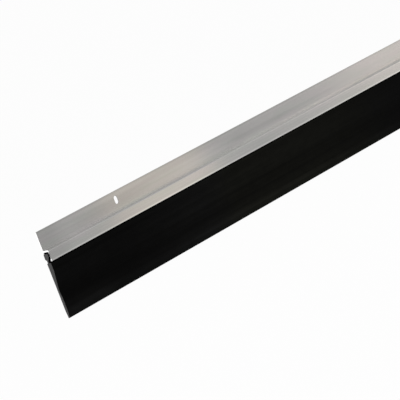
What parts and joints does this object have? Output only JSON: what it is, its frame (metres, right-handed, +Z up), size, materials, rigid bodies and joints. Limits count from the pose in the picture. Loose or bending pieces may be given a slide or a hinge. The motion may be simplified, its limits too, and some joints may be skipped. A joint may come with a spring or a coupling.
{
  "type": "garage door bottom seal",
  "caption": "Long aluminium carrier strip with slotted flange and stepped channel, holding a black rubber sealing blade.",
  "frame": {"origin": "middle of the carrier's flat back face, half way along the strip and half way up the carrier", "axes": "+X along the strip, +Y into the door that the back lies on, +Z up, with the blade hanging down"},
  "size_m": [2.1368, 0.008, 0.0835],
  "materials": {
    "aluminium": "mill finish, fine lengthwise die lines",
    "rubber": "matt black extruded rubber"
  },
  "bodies": {
    "root": {"aluminium_carrier": "aluminium", "rubber_seal": "rubber"}
  },
  "joints": []
}
